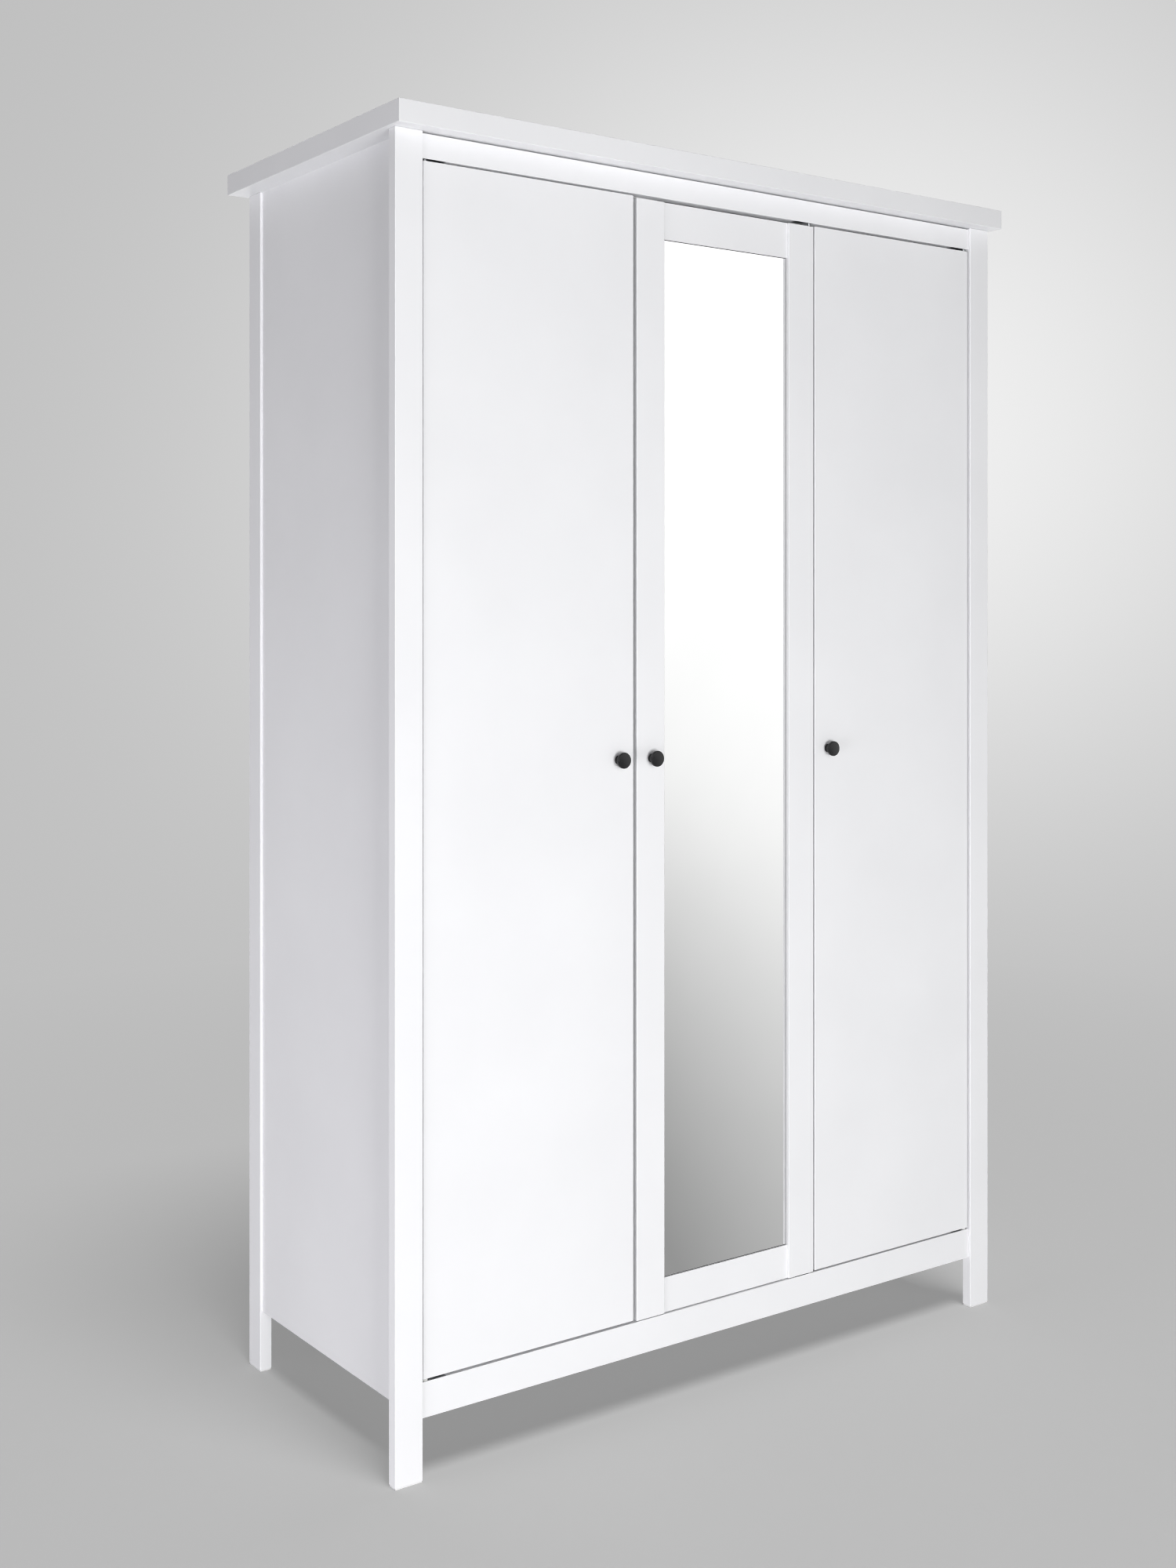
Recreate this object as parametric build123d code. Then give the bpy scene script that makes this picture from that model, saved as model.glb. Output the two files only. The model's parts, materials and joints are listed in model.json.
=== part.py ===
from build123d import *
import os

# Three-door wardrobe on four posts. Millimetres, +Z up, the doors face -Y.
# The origin is on the floor, under the middle of the cornice.

os.makedirs("parts", exist_ok=True)

# ---- overall
HEIGHT = 1900.0
CORNICE_W = 1200.0
CORNICE_D = 546.0
CORNICE_H = 32.0
CORNICE_STRIP = 30.0      # width of the solid strips round the cornice board
OVERHANG_SIDE = 8.0
OVERHANG_FRONT = 24.0
OVERHANG_REAR = 12.0

# ---- posts and side panels
BOARD = 16.0
FRONT_POST_W = 44.0
FRONT_POST_T = 18.0
REAR_POST_W = 20.0
REAR_POST_D = 40.0
SIDE_STEP = 4.0           # the side panel lies this far inside the rear post's outer face
SIDE_BOTTOM_Z = 95.0
PAD_H = 2.0
PAD_INSET = 1.0

# ---- front rails and doors
FRONT_RECESS = 4.0        # rails and doors lie this far behind the front of the posts
SHADOW_GAP = 2.2          # slot between the top rail and the cornice
TOP_RAIL_Z = 1831.0       # lower edge of the top rail
BOTTOM_RAIL_Z0 = 86.0
BOTTOM_RAIL_Z1 = 136.0
LEFT_DOOR_W = 365.0
CENTRE_DOOR_W = 358.0
RIGHT_DOOR_W = 357.0
DOOR_H = 1689.0
DOOR_T = 16.0
SIDE_GAP = 3.0            # post to outer door
MIDDLE_GAP = 3.5          # centre door to right door
PAIR_GAP = 6.5            # left door to centre door
LEFT_LIFT = 3.2           # gap under each door
CENTRE_LIFT = 1.0
RIGHT_LIFT = 2.4
EDGE_R = 1.2              # rounding of the lacquered edges

# ---- centre door frame and mirror
STILE_W = 53.0
FRAME_TOP_H = 56.0
FRAME_BOTTOM_H = 53.0
FRAME_RAIL_T = 12.0       # frame rails lie behind the front of the stiles
REBATE = 8.0
GLASS_T = 4.0
BACKING_T = 5.0
GLASS_PLAY = 1.0

# ---- pivot hinges
AXIS_IN = 5.5             # pivot axis in from the door's edge and from its front face
PIN_D = 4.0
PIN_LEN = 14.0
RUN_CLEAR = 0.05          # radial running clearance, and clearance round fixed fasteners
BUSH_D = 8.0
BUSH_DEPTH = 14.5
BUSH_BORE_DEPTH = 13.5
PLATE_L = 36.0
PLATE_W = 12.0
PLATE_T = 1.5

# ---- knobs
KNOB_IN = 28.0            # knob axis in from the door's free edge
KNOB_Z = 982.0
KNOB_BASE_R = 6.7
KNOB_HEAD_R = 12.0
KNOB_H = 17.0
KNOB_SCREW_D = 4.0

# ---- inside
PARTITION_T = 16.0
INNER_FRONT_Y = -226.0    # front edge of the partition, clear of the doors' swing
SHELF_FRONT_Y = -222.0
BACK_Y = 238.0            # front face of the back panels
BACK_T = 3.0
BACK_GROOVE = 6.0
REAR_RAIL_H = 80.0
HAT_SHELF_Z = 1560.0
CLOTHES_RAIL_Z = 1500.0
CLOTHES_RAIL_D = 25.0
CLOTHES_RAIL_WALL = 1.5
SHELF_COUNT = 4
SHELF_PLAY = 1.0
SHELF_PIN_D = 5.0
SHELF_PIN_L = 16.0
STRIKE_Z = 1817.0
STRIKE_D = 12.0
STRIKE_T = 1.2

# ---- planes that follow from the dimensions above
CORNICE_Z = HEIGHT - CORNICE_H
BODY_X = CORNICE_W / 2 - OVERHANG_SIDE
CORNICE_Y0 = -CORNICE_D / 2
CORNICE_Y1 = CORNICE_D / 2
POST_Y0 = CORNICE_Y0 + OVERHANG_FRONT
POST_Y1 = POST_Y0 + FRONT_POST_T
REAR_Y1 = CORNICE_Y1 - OVERHANG_REAR
REAR_Y0 = REAR_Y1 - REAR_POST_D
INNER_X = BODY_X - FRONT_POST_W
REAR_POST_X = INNER_X + REAR_POST_W
SIDE_X = REAR_POST_X - SIDE_STEP
FACE_Y = POST_Y0 + FRONT_RECESS
DOOR_BACK_Y = FACE_Y + DOOR_T
AXIS_Y = FACE_Y + AXIS_IN
BACK_Y1 = BACK_Y + BACK_T

LEFT_X0 = -INNER_X + SIDE_GAP
LEFT_X1 = LEFT_X0 + LEFT_DOOR_W
CENTRE_X0 = LEFT_X1 + PAIR_GAP
CENTRE_X1 = CENTRE_X0 + CENTRE_DOOR_W
RIGHT_X0 = CENTRE_X1 + MIDDLE_GAP
RIGHT_X1 = RIGHT_X0 + RIGHT_DOOR_W
PARTITION_X = (CENTRE_X1 + RIGHT_X0) / 2
PARTITION_X0 = PARTITION_X - PARTITION_T / 2
PARTITION_X1 = PARTITION_X + PARTITION_T / 2
LEFT_AXIS_X = LEFT_X0 + AXIS_IN
CENTRE_AXIS_X = CENTRE_X1 - AXIS_IN
RIGHT_AXIS_X = RIGHT_X1 - AXIS_IN
FLOOR_Z0 = BOTTOM_RAIL_Z1 - BOARD      # underside of the bottom panel
TOP_PANEL_Z1 = TOP_RAIL_Z + BOARD


# ---- shape helpers
def block(x0, x1, y0, y1, z0, z1):
    """Box between two opposite corners."""
    middle = Pos((x0 + x1) / 2, (y0 + y1) / 2, (z0 + z1) / 2)
    return middle * Box(x1 - x0, y1 - y0, z1 - z0)


def board(x0, x1, y0, y1, z0, z1, radius=EDGE_R):
    """Box with every edge slightly rounded, as on a lacquered board."""
    raw = block(x0, x1, y0, y1, z0, z1)
    return fillet(raw.edges(), radius)


def rod(axis, start, end, across, diameter):
    """Cylinder along an axis from start to end; across gives the other two coordinates."""
    middle = (start + end) / 2
    a, b = across
    place = {
        "x": Pos(middle, a, b) * Rot(0, 90, 0),
        "y": Pos(a, middle, b) * Rot(90, 0, 0),
        "z": Pos(a, b, middle),
    }[axis]
    return place * Cylinder(diameter / 2, abs(end - start))


def save(node, *solids):
    """Write one node; several solids become one group of separate solids."""
    shape = solids[0] if len(solids) == 1 else Compound(children=list(solids))
    export_step(shape, f"parts/{node}.step")


def overlaps(a, b):
    """True when two bounding boxes share space."""
    p, q = a.bounding_box(), b.bounding_box()
    return (
        p.min.X < q.max.X and q.min.X < p.max.X
        and p.min.Y < q.max.Y and q.min.Y < p.max.Y
        and p.min.Z < q.max.Z and q.min.Z < p.max.Z
    )


def drilled(body, cutters):
    """Cut every cutter that reaches the body."""
    for cutter in cutters:
        if overlaps(body, cutter):
            body = body - cutter
    return body


# ---- fasteners: each list of solids has a matching list of holes
solids = {"dowels": [], "cam_bolts": [], "cam_locks": [], "shelf_pins": [],
          "wood_screws": [], "back_panel_nails": [], "centre_door_dowels": []}
holes = []


def add_rod(node, axis, start, end, across, diameter):
    """Straight peg and the hole it sits in."""
    solids[node].append(rod(axis, start, end, across, diameter))
    holes.append(rod(axis, start, end, across, diameter + 2 * RUN_CLEAR))


def wood_screw(extra=0.0):
    """Countersunk screw, head face at the origin, shank along -Z."""
    head_r, shank_r, head_h, length = 3.2 + extra, 1.6 + extra, 1.5, 14.0
    outline = Polyline(
        (0, 0), (head_r, 0), (shank_r, -head_h), (shank_r, -length + 2),
        (0, -length), (0, 0),
    )
    return revolve(Plane.XZ * make_face(outline), Axis.Z)


def add_wood_screw(place):
    """Wood screw with its head face at the given place."""
    solids["wood_screws"].append(place * wood_screw())
    holes.append(place * wood_screw(RUN_CLEAR))


DOWEL_D = 8.0
DOWEL_IN_BOARD = 10.0     # depth in a board's face
DOWEL_IN_EDGE = 20.0      # depth in a board's edge

# posts to side panels, and the rear top rail to the rear posts
for side in (-1, 1):
    panel_x = side * (INNER_X + SIDE_X) / 2
    for z in (220.0, 980.0, 1740.0):
        add_rod("dowels", "y", POST_Y1 - DOWEL_IN_BOARD, POST_Y1 + DOWEL_IN_EDGE, (panel_x, z), DOWEL_D)
        add_rod("dowels", "y", REAR_Y0 - DOWEL_IN_EDGE, REAR_Y0 + DOWEL_IN_BOARD, (panel_x, z), DOWEL_D)
    for z in (CORNICE_Z - 60, CORNICE_Z - 20):
        ends = sorted((side * (INNER_X - DOWEL_IN_EDGE), side * (INNER_X + DOWEL_IN_BOARD)))
        add_rod("dowels", "x", ends[0], ends[1], (BACK_Y1 + BOARD / 2, z), DOWEL_D)
    # side panels up into the cornice
    for y in (-150.0, 150.0):
        add_rod("dowels", "z", CORNICE_Z - DOWEL_IN_EDGE, CORNICE_Z + DOWEL_IN_BOARD,
                (panel_x, y), DOWEL_D)
    # front rails into the front posts
    for z in (BOTTOM_RAIL_Z0 + 11, BOTTOM_RAIL_Z0 + 27, CORNICE_Z - 13):
        ends = sorted((side * (INNER_X - DOWEL_IN_EDGE), side * (INNER_X + DOWEL_IN_BOARD)))
        add_rod("dowels", "x", ends[0], ends[1], (FACE_Y + BOARD / 2, z), DOWEL_D)

# front rails to the front edges of the top and bottom panels
for x in (-360.0, -60.0, 360.0):
    for z in (FLOOR_Z0 + BOARD / 2, TOP_RAIL_Z + BOARD / 2):
        add_rod("dowels", "y", DOOR_BACK_Y - DOWEL_IN_BOARD, DOOR_BACK_Y + DOWEL_IN_EDGE,
                (x, z), DOWEL_D)

# partition to the top and bottom panels
for y in (-180.0, 190.0):
    add_rod("dowels", "z", BOTTOM_RAIL_Z1 - DOWEL_IN_BOARD, BOTTOM_RAIL_Z1 + DOWEL_IN_EDGE,
            (PARTITION_X, y), DOWEL_D)
    add_rod("dowels", "z", TOP_RAIL_Z - DOWEL_IN_EDGE, TOP_RAIL_Z + DOWEL_IN_BOARD,
            (PARTITION_X, y), DOWEL_D)

# panel ends: one list of (end plane, direction into the panel, panel mid height)
FIXED_ENDS = [
    (-INNER_X, 1, FLOOR_Z0 + BOARD / 2), (INNER_X, -1, FLOOR_Z0 + BOARD / 2),
    (-INNER_X, 1, TOP_RAIL_Z + BOARD / 2), (INNER_X, -1, TOP_RAIL_Z + BOARD / 2),
    (-INNER_X, 1, HAT_SHELF_Z + BOARD / 2), (PARTITION_X0, -1, HAT_SHELF_Z + BOARD / 2),
]
CAM_D = 15.0
CAM_H = 12.0
CAM_BOLT_D = 6.0
CAM_IN = 30.0
for end_x, inward, z in FIXED_ENDS:
    for y in (-190.0, 200.0):
        ends = sorted((end_x - inward * DOWEL_IN_BOARD, end_x + inward * DOWEL_IN_EDGE))
        add_rod("dowels", "x", ends[0], ends[1], (y, z), DOWEL_D)
    for y in (-120.0, 130.0):
        ends = sorted((end_x - inward * DOWEL_IN_BOARD, end_x + inward * CAM_IN))
        bolt = rod("x", ends[0], ends[1], (y, z), CAM_BOLT_D)
        bolt_hole = rod("x", ends[0], ends[1], (y, z), CAM_BOLT_D + 2 * RUN_CLEAR)
        cam_x = end_x + inward * CAM_IN
        cam_z = z - BOARD / 2
        cam = rod("z", cam_z, cam_z + CAM_H, (cam_x, y), CAM_D) - bolt_hole
        slot = block(cam_x - 5, cam_x + 5, y - 0.6, y + 0.6, cam_z, cam_z + 1.5)
        solids["cam_bolts"].append(bolt)
        solids["cam_locks"].append(cam - slot)
        holes.append(bolt_hole)
        holes.append(rod("z", cam_z, cam_z + CAM_H, (cam_x, y), CAM_D + 2 * RUN_CLEAR))

# shelf pins under the narrow shelves
SHELF_PITCH = (TOP_RAIL_Z - BOTTOM_RAIL_Z1 - SHELF_COUNT * BOARD) / (SHELF_COUNT + 1) + BOARD
shelf_bottoms = [BOTTOM_RAIL_Z1 - BOARD + SHELF_PITCH * (i + 1) for i in range(SHELF_COUNT)]
for z in shelf_bottoms:
    for y in (-180.0, 190.0):
        pin_z = z - SHELF_PIN_D / 2
        half = SHELF_PIN_L / 2
        add_rod("shelf_pins", "x", PARTITION_X1 - half, PARTITION_X1 + half, (y, pin_z), SHELF_PIN_D)
        add_rod("shelf_pins", "x", INNER_X - half, INNER_X + half, (y, pin_z), SHELF_PIN_D)

# back panel nails: shank into the board's rear edge, flat head on the back panel
NAIL_D = 1.8
NAIL_HEAD_D = 5.0
NAIL_HEAD_T = 0.8
NAIL_L = 20.0
BACK_SPLIT_X = (-INNER_X + PARTITION_X0) / 2
BOTTOM_NAILS_X = (-500.0, -370.0, -240.0, -130.0, 0.0, 130.0, 260.0, 380.0, 500.0)
PARTITION_NAILS_Z = (300.0, 660.0, 1020.0, 1380.0, 1740.0)
nail_spots = [(x, FLOOR_Z0 + BOARD / 2) for x in BOTTOM_NAILS_X]
nail_spots += [(PARTITION_X + dx, z) for dx in (-4.0, 4.0) for z in PARTITION_NAILS_Z]
nail_spots += [(x, HAT_SHELF_Z + BOARD / 2) for x in (-460.0, -280.0, -90.0, 90.0)]
for x, z in nail_spots:
    shank = rod("y", BACK_Y1 - NAIL_L, BACK_Y1, (x, z), NAIL_D)
    head = rod("y", BACK_Y1, BACK_Y1 + NAIL_HEAD_T, (x, z), NAIL_HEAD_D)
    solids["back_panel_nails"].append(shank + head)
    holes.append(rod("y", BACK_Y1 - NAIL_L, BACK_Y1, (x, z), NAIL_D + 2 * RUN_CLEAR))

# ---- pivot plates: a plate let into the rail, with the hinge pin fixed in it
PLATE_Y0 = AXIS_Y - PLATE_W / 2 + 1.5
pivot_plates = []
plate_recesses = []
for axis_x, inward in ((LEFT_AXIS_X, 1), (CENTRE_AXIS_X, -1), (RIGHT_AXIS_X, -1)):
    xs = sorted((axis_x - inward * 4, axis_x + inward * (PLATE_L - 4)))
    for rail_z, up in ((BOTTOM_RAIL_Z1, 1), (TOP_RAIL_Z, -1)):
        zs = sorted((rail_z - up * PLATE_T, rail_z))
        plate = block(xs[0], xs[1], PLATE_Y0, PLATE_Y0 + PLATE_W, zs[0], zs[1])
        plate_recesses.append(plate)
        pin_ends = sorted((rail_z - up * PLATE_T, rail_z + up * PIN_LEN))
        pin = rod("z", pin_ends[0], pin_ends[1], (axis_x, AXIS_Y), PIN_D)
        for along in (12.0, 26.0):
            flip = Rot(0, 0, 0) if up > 0 else Rot(180, 0, 0)
            add_wood_screw(Pos(axis_x + inward * along, PLATE_Y0 + PLATE_W / 2, rail_z) * flip)
        pivot_plates.append(plate + pin)

# ---- magnetic catches under the top panel, one per door
STRIKE_GAP = 0.1
CATCH_Y0 = DOOR_BACK_Y + STRIKE_T + STRIKE_GAP
CATCH_D = 14.0
CATCH_FLANGE_W = 46.0
CATCH_FLANGE_T = 3.0
CATCH_BODY_W = 28.0
CATCH_H = 20.0
STRIKE_X = {"left": LEFT_X1 - 26, "centre": CENTRE_X0 + 26, "right": RIGHT_X0 + 32}
catches = []
for x in STRIKE_X.values():
    flange = block(x - CATCH_FLANGE_W / 2, x + CATCH_FLANGE_W / 2, CATCH_Y0, CATCH_Y0 + CATCH_D,
                   TOP_RAIL_Z - CATCH_FLANGE_T, TOP_RAIL_Z)
    housing = block(x - CATCH_BODY_W / 2, x + CATCH_BODY_W / 2, CATCH_Y0, CATCH_Y0 + CATCH_D,
                    TOP_RAIL_Z - CATCH_H, TOP_RAIL_Z)
    catches.append(flange + housing)
    for dx in (-18.5, 18.5):
        add_wood_screw(Pos(x + dx, CATCH_Y0 + CATCH_D / 2, TOP_RAIL_Z - CATCH_FLANGE_T) * Rot(180, 0, 0))

# ---- clothes rail with a cup bracket at each end
BRACKET_T = 3.0
BRACKET_D = 54.0
CUP_D = 31.0
CUP_L = 14.0
rail_inner_d = CLOTHES_RAIL_D - 2 * CLOTHES_RAIL_WALL
rail_x0 = -INNER_X + BRACKET_T
rail_x1 = PARTITION_X0 - BRACKET_T
clothes_rail = rod("x", rail_x0, rail_x1, (0, CLOTHES_RAIL_Z), CLOTHES_RAIL_D)
clothes_rail = clothes_rail - rod("x", rail_x0, rail_x1, (0, CLOTHES_RAIL_Z), rail_inner_d)
brackets = []
for wall_x, inward in ((-INNER_X, 1), (PARTITION_X0, -1)):
    plate_ends = sorted((wall_x, wall_x + inward * BRACKET_T))
    cup_ends = sorted((wall_x, wall_x + inward * (BRACKET_T + CUP_L)))
    bore_ends = sorted((wall_x + inward * BRACKET_T, wall_x + inward * (BRACKET_T + CUP_L)))
    bracket = rod("x", plate_ends[0], plate_ends[1], (0, CLOTHES_RAIL_Z), BRACKET_D)
    bracket = bracket + rod("x", cup_ends[0], cup_ends[1], (0, CLOTHES_RAIL_Z), CUP_D)
    bracket = bracket - rod("x", bore_ends[0], bore_ends[1], (0, CLOTHES_RAIL_Z),
                            CLOTHES_RAIL_D + 2 * RUN_CLEAR)
    brackets.append(bracket)
    for dy in (-21.0, 21.0):
        face = Pos(wall_x + inward * BRACKET_T, dy, CLOTHES_RAIL_Z)
        add_wood_screw(face * Rot(0, inward * 90, 0))

# ---- doors: bushes, knobs and strikes
pivots = {"left": LEFT_AXIS_X, "centre": CENTRE_AXIS_X, "right": RIGHT_AXIS_X}
lifts = {"left": LEFT_LIFT, "centre": CENTRE_LIFT, "right": RIGHT_LIFT}
door_x = {"left": (LEFT_X0, LEFT_X1), "centre": (CENTRE_X0, CENTRE_X1), "right": (RIGHT_X0, RIGHT_X1)}
knob_x = {"left": LEFT_X1 - KNOB_IN, "centre": CENTRE_X0 + KNOB_IN, "right": RIGHT_X0 + KNOB_IN}


def bush_pair(door):
    """Bottom and top bush of one door; the bottom one rests on the pivot plate."""
    x = pivots[door]
    low = BOTTOM_RAIL_Z1 + lifts[door]
    high = low + DOOR_H
    bottom = rod("z", BOTTOM_RAIL_Z1 + RUN_CLEAR, low + BUSH_DEPTH, (x, AXIS_Y), BUSH_D)
    top = rod("z", high - BUSH_DEPTH, high, (x, AXIS_Y), BUSH_D)
    bore = PIN_D + 2 * RUN_CLEAR
    bottom = bottom - rod("z", BOTTOM_RAIL_Z1, low + BUSH_BORE_DEPTH, (x, AXIS_Y), bore)
    top = top - rod("z", high - BUSH_BORE_DEPTH, high, (x, AXIS_Y), bore)
    return bottom, top


def bush_holes(door):
    """Blind holes for the bushes in the door's lower and upper edge."""
    x = pivots[door]
    low = BOTTOM_RAIL_Z1 + lifts[door]
    high = low + DOOR_H
    hole_d = BUSH_D + 2 * RUN_CLEAR
    return [
        rod("z", low, low + BUSH_DEPTH, (x, AXIS_Y), hole_d),
        rod("z", high - BUSH_DEPTH, high, (x, AXIS_Y), hole_d),
    ]


def knob(x):
    """Turned mushroom knob standing on the door's front face."""
    r0, r1, h = KNOB_BASE_R, KNOB_HEAD_R, KNOB_H
    lip = r1 - 0.6                    # radius where the rim meets the neck and the dome
    flare_h, dome_h = 0.68 * h, 0.84 * h
    dome_r = (lip ** 2 + (h - dome_h) ** 2) / (2 * (h - dome_h))
    mid_h = h - dome_r + (dome_r ** 2 - (lip / 2) ** 2) ** 0.5
    outline = Line((0, 0), (r0, 0)) + Line((r0, 0), (r0, 0.8))
    outline = outline + ThreePointArc((r0, 0.8), (r0 + 0.4, 0.38 * h), (lip, flare_h))
    outline = outline + ThreePointArc((lip, flare_h), (r1, (flare_h + dome_h) / 2), (lip, dome_h))
    outline = outline + ThreePointArc((lip, dome_h), (lip / 2, mid_h), (0, h)) + Line((0, h), (0, 0))
    turned = Pos(x, FACE_Y, KNOB_Z) * Rot(180, 0, 0) * revolve(make_face(outline), Axis.Y)
    return turned - rod("y", FACE_Y - 10, FACE_Y, (x, KNOB_Z), KNOB_SCREW_D + 2 * RUN_CLEAR)


def knob_screw(x):
    """Machine screw from the back of the door into the knob."""
    shank = rod("y", FACE_Y - 10, DOOR_BACK_Y, (x, KNOB_Z), KNOB_SCREW_D)
    head = rod("y", DOOR_BACK_Y, DOOR_BACK_Y + 2.2, (x, KNOB_Z), 8.0)
    slots = [block(x - 2.4, x + 2.4, DOOR_BACK_Y + 1, DOOR_BACK_Y + 2.2, KNOB_Z - 0.5, KNOB_Z + 0.5),
             block(x - 0.5, x + 0.5, DOOR_BACK_Y + 1, DOOR_BACK_Y + 2.2, KNOB_Z - 2.4, KNOB_Z + 2.4)]
    return shank + head - slots[0] - slots[1]


def strike(x):
    """Steel strike disc with a spigot pressed into the door's back."""
    disc = rod("y", DOOR_BACK_Y, DOOR_BACK_Y + STRIKE_T, (x, STRIKE_Z), STRIKE_D)
    return disc + rod("y", DOOR_BACK_Y - 7, DOOR_BACK_Y, (x, STRIKE_Z), 5.0)


def door_cutters(door):
    """Everything bored into one door leaf."""
    x_knob, x_strike = knob_x[door], STRIKE_X[door]
    through = rod("y", FACE_Y, DOOR_BACK_Y, (x_knob, KNOB_Z), KNOB_SCREW_D + 2 * RUN_CLEAR)
    spigot = rod("y", DOOR_BACK_Y - 7, DOOR_BACK_Y, (x_strike, STRIKE_Z), 5.0 + 2 * RUN_CLEAR)
    return bush_holes(door) + [through, spigot]


for door in ("left", "right"):
    z0 = BOTTOM_RAIL_Z1 + lifts[door]
    x0, x1 = door_x[door]
    leaf = board(x0, x1, FACE_Y, DOOR_BACK_Y, z0, z0 + DOOR_H)
    save(f"{door}_door_panel", drilled(leaf, door_cutters(door)))

for door in ("left", "centre", "right"):
    save(f"{door}_door_bushes", *bush_pair(door))
    save(f"{door}_door_knob", knob(knob_x[door]))
    save(f"{door}_door_knob_screw", knob_screw(knob_x[door]))
    save(f"{door}_door_strike", strike(STRIKE_X[door]))

# ---- centre door: stiles, rails, mirror, backing and clips
c_z0 = BOTTOM_RAIL_Z1 + CENTRE_LIFT
c_z1 = c_z0 + DOOR_H
open_x0 = CENTRE_X0 + STILE_W
open_x1 = CENTRE_X1 - STILE_W
open_z0 = c_z0 + FRAME_BOTTOM_H
open_z1 = c_z1 - FRAME_TOP_H
frame_rail_y = DOOR_BACK_Y - FRAME_RAIL_T
glass_y = DOOR_BACK_Y - BACKING_T - GLASS_T
rebate = block(open_x0 - REBATE, open_x1 + REBATE, glass_y, DOOR_BACK_Y,
               open_z0 - REBATE, open_z1 + REBATE)
edge = REBATE - GLASS_PLAY
for x in (open_x0, open_x1):
    for z in (c_z0 + 14, c_z0 + 34, c_z1 - 16, c_z1 - 36):
        add_rod("centre_door_dowels", "x", x - 20, x + 20, (DOOR_BACK_Y - FRAME_RAIL_T / 2, z), 6.0)

CLIP_L = 24.0
CLIP_W = 12.0
CLIP_T = 1.6
clip_places = [(open_x0 - REBATE, z, -1, 0) for z in (400.0, 980.0, 1560.0)]
clip_places += [(open_x1 + REBATE, z, 1, 0) for z in (400.0, 980.0, 1560.0)]
clip_places += [(CENTRE_X0 + CENTRE_DOOR_W / 2, open_z0 - REBATE, 0, -1),
                (CENTRE_X0 + CENTRE_DOOR_W / 2, open_z1 + REBATE, 0, 1)]
clips = []
clip_holes = []
for x, z, out_x, out_z in clip_places:
    half_x = CLIP_L / 2 if out_x else CLIP_W / 2
    half_z = CLIP_L / 2 if out_z else CLIP_W / 2
    plate = block(x - half_x, x + half_x, DOOR_BACK_Y, DOOR_BACK_Y + CLIP_T, z - half_z, z + half_z)
    peg_at = (x + out_x * 6, z + out_z * 6)
    clips.append(plate + rod("y", DOOR_BACK_Y - 7, DOOR_BACK_Y, peg_at, 4.0))
    clip_holes.append(rod("y", DOOR_BACK_Y - 7, DOOR_BACK_Y, peg_at, 4.0 + 2 * RUN_CLEAR))

centre_cutters = door_cutters("centre") + clip_holes + holes
stile_left = board(CENTRE_X0, open_x0, FACE_Y, DOOR_BACK_Y, c_z0, c_z1) - rebate
stile_right = board(open_x1, CENTRE_X1, FACE_Y, DOOR_BACK_Y, c_z0, c_z1) - rebate
rail_top = block(open_x0, open_x1, frame_rail_y, DOOR_BACK_Y, open_z1, c_z1) - rebate
rail_bottom = block(open_x0, open_x1, frame_rail_y, DOOR_BACK_Y, c_z0, open_z0) - rebate
save("centre_door_stile_left", drilled(stile_left, centre_cutters))
save("centre_door_stile_right", drilled(stile_right, centre_cutters))
save("centre_door_rail_top", drilled(rail_top, centre_cutters))
save("centre_door_rail_bottom", drilled(rail_bottom, centre_cutters))
save("mirror_glass", block(open_x0 - edge, open_x1 + edge, glass_y, glass_y + GLASS_T,
                           open_z0 - edge, open_z1 + edge))
save("mirror_backing", block(open_x0 - edge, open_x1 + edge, glass_y + GLASS_T, DOOR_BACK_Y,
                             open_z0 - edge, open_z1 + edge))
save("mirror_clips", *clips)

# ---- posts, pads and side panels
def foot_pad(xs, y0, y1):
    """Pad under a post, a little smaller than the post all round."""
    return block(xs[0] + PAD_INSET, xs[1] - PAD_INSET, y0 + PAD_INSET, y1 - PAD_INSET, 0, PAD_H)


pads = []
for name, side in (("left", -1), ("right", 1)):
    xs = sorted((side * INNER_X, side * BODY_X))
    front_post = board(xs[0], xs[1], POST_Y0, POST_Y1, PAD_H, CORNICE_Z)
    save(f"front_post_{name}", drilled(front_post, holes))
    pads.append(foot_pad(xs, POST_Y0, POST_Y1))

    xs = sorted((side * INNER_X, side * REAR_POST_X))
    rear_post = board(xs[0], xs[1], REAR_Y0, REAR_Y1, PAD_H, CORNICE_Z)
    groove_x = sorted((side * INNER_X, side * (INNER_X + BACK_GROOVE)))
    groove = block(groove_x[0], groove_x[1], BACK_Y, BACK_Y1, FLOOR_Z0, CORNICE_Z)
    save(f"rear_post_{name}", drilled(rear_post - groove, holes))
    pads.append(foot_pad(xs, REAR_Y0, REAR_Y1))

    xs = sorted((side * INNER_X, side * SIDE_X))
    side_panel = block(xs[0], xs[1], POST_Y1, REAR_Y0, SIDE_BOTTOM_Z, CORNICE_Z)
    save(f"side_panel_{name}", drilled(side_panel, holes))
save("foot_pads", *pads)

# ---- front and rear rails
top_rail = board(-INNER_X, INNER_X, FACE_Y, DOOR_BACK_Y, TOP_RAIL_Z, CORNICE_Z - SHADOW_GAP, 0.8)
bottom_rail = board(-INNER_X, INNER_X, FACE_Y, DOOR_BACK_Y, BOTTOM_RAIL_Z0, BOTTOM_RAIL_Z1, 0.8)
rear_rail = block(-INNER_X, INNER_X, BACK_Y1, BACK_Y1 + BOARD, CORNICE_Z - REAR_RAIL_H, CORNICE_Z)
save("top_rail", drilled(top_rail, plate_recesses + holes))
save("bottom_rail", drilled(bottom_rail, plate_recesses + holes))
save("rear_top_rail", drilled(rear_rail, holes))

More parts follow.
